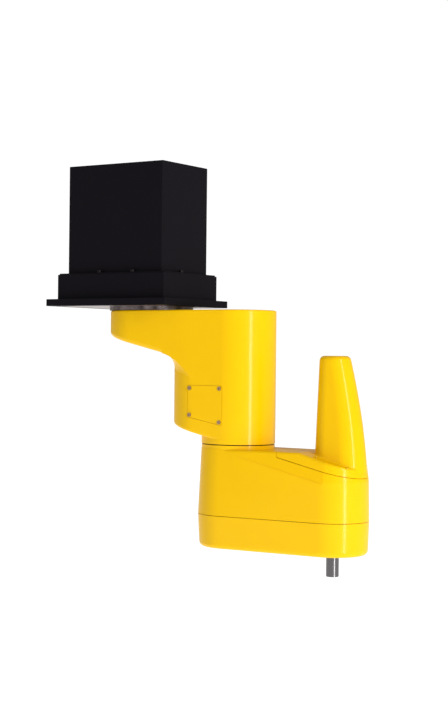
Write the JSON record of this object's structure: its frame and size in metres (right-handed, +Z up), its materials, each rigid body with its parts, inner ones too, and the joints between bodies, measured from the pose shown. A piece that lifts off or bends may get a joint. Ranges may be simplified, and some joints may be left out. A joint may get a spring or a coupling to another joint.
{
  "type": "scara robot arm",
  "caption": "Ceiling-hung selective-compliance arm: black box base, yellow first link, yellow second link with a conical cover over a hollow tool shaft.",
  "frame": {"origin": "centre of the ceiling bolt rectangle, on the mounting flange's upper face", "axes": "+Z up through the base box, +X from the base towards the tool with both links straight"},
  "size_m": [0.5584, 0.1854, 0.6567],
  "materials": {
    "yellow_paint": "gloss yellow paint on cast aluminium",
    "yellow_cover": "gloss yellow paint on a moulded cover",
    "yellow_screws": "painted over with the cover",
    "black_paint": "satin black paint on cast aluminium",
    "black_sheet": "satin black paint on sheet steel",
    "machined_plate": "bare machined",
    "ring_metal": "machined, partly darkened",
    "dark_screws": "black oxide",
    "steel_screws": "zinc plated",
    "cover_screws": "dark plated",
    "panel_metal": "brushed",
    "inlet_metal": "satin nickel",
    "dark_plastic": "moulded",
    "air_fitting": "nickel plated brass",
    "motor_case": "black anodised",
    "gear_steel": "machined",
    "bearing_steel": "ground",
    "ground_steel": "ground and polished",
    "pulley_metal": "anodised",
    "belt_rubber": "moulded",
    "seal_rubber": "moulded"
  },
  "bodies": {
    "base": {"base_flange": "black_paint", "flange_closing_plate": "machined_plate", "closing_plate_screws": "dark_screws", "base_cover": "black_sheet", "base_cover_screws": "dark_screws", "connector_panel": "panel_metal", "connector_panel_screws": "steel_screws", "power_inlet": "inlet_metal", "power_inlet_pins": "air_fitting", "signal_inlet": "dark_plastic", "air_fittings": "air_fitting", "j1_motor": "motor_case", "j1_gear_housing": "gear_steel", "j1_bearing_outer_ring": "bearing_steel", "j1_collar": "ring_metal"},
    "link1": {"j1_output_flange": "gear_steel", "j1_bearing_inner_ring": "bearing_steel", "link1_casting": "yellow_paint", "link1_access_cover": "yellow_paint", "access_cover_screws": "cover_screws", "j2_motor": "motor_case", "j2_gear_housing": "gear_steel", "j2_bearing_outer_ring": "bearing_steel", "j2_joint_ring": "seal_rubber"},
    "link2": {"j2_output_flange": "gear_steel", "j2_bearing_inner_ring": "bearing_steel", "link2_casting": "yellow_paint", "link2_bottom_cover": "yellow_cover", "bottom_cover_screws": "steel_screws", "horn_cover": "yellow_cover", "horn_cover_screws": "yellow_screws", "shaft_seal_ring": "seal_rubber", "j3_motor": "motor_case", "j4_motor": "motor_case", "j3_belt": "belt_rubber", "j4_belt": "belt_rubber", "spline_nut_bracket": "panel_metal", "ball_nut_bearing": "bearing_steel", "spline_nut_bearing": "bearing_steel"},
    "spline_nut_group": {"spline_nut": "bearing_steel", "j4_driven_pulley": "pulley_metal"},
    "ball_nut_group": {"ball_nut": "bearing_steel", "j3_driven_pulley": "pulley_metal"},
    "tool_shaft_group": {"tool_shaft": "ground_steel", "upper_stop_collar": "dark_screws"},
    "j3_motor_rotor": {"j3_motor_pulley": "pulley_metal", "j3_motor_shaft": "bearing_steel"},
    "j4_motor_rotor": {"j4_motor_pulley": "pulley_metal", "j4_motor_shaft": "bearing_steel"}
  },
  "joints": [
    {"name": "j1_base_swing", "type": "hinge", "parent": "base", "child": "link1", "pos_m": [0.03, 0, -0.0185], "axis": [0, 0, 1], "range_deg": [-225, 225]},
    {"name": "j2_elbow_swing", "type": "hinge", "parent": "link1", "child": "link2", "pos_m": [0.205, 0, -0.2334], "axis": [0, 0, 1], "range_deg": [-225, 225]},
    {"name": "j4_tool_turn", "type": "hinge", "parent": "link2", "child": "spline_nut_group", "pos_m": [0.38, 0, -0.37], "axis": [0, 0, 1], "range_deg": [-360, 360]},
    {"name": "j3_tool_stroke", "type": "slide", "parent": "spline_nut_group", "child": "tool_shaft_group", "axis": [0, 0, 1], "range_m": [-0.15, 0]},
    {"name": "ball_nut_turn", "type": "hinge", "parent": "spline_nut_group", "child": "ball_nut_group", "pos_m": [0.38, 0, -0.3], "axis": [0, 0, 1], "range_deg": [-3400, 3400]},
    {"name": "j3_motor_turn", "type": "hinge", "parent": "link2", "child": "j3_motor_rotor", "pos_m": [0.305, 0.023, -0.338], "axis": [0, 0, 1], "range_deg": [-8800, 8800]},
    {"name": "j4_motor_turn", "type": "hinge", "parent": "link2", "child": "j4_motor_rotor", "pos_m": [0.305, -0.023, -0.354], "axis": [0, 0, 1], "range_deg": [-940, 940]}
  ],
  "couplings": [
    {"joint": "ball_nut_turn", "follows": "j3_tool_stroke", "rad_per_m": 392.7},
    {"joint": "j3_motor_turn", "follows": "j3_tool_stroke", "rad_per_m": 1021},
    {"joint": "j4_motor_turn", "follows": "j4_tool_turn", "ratio": 2.6}
  ]
}
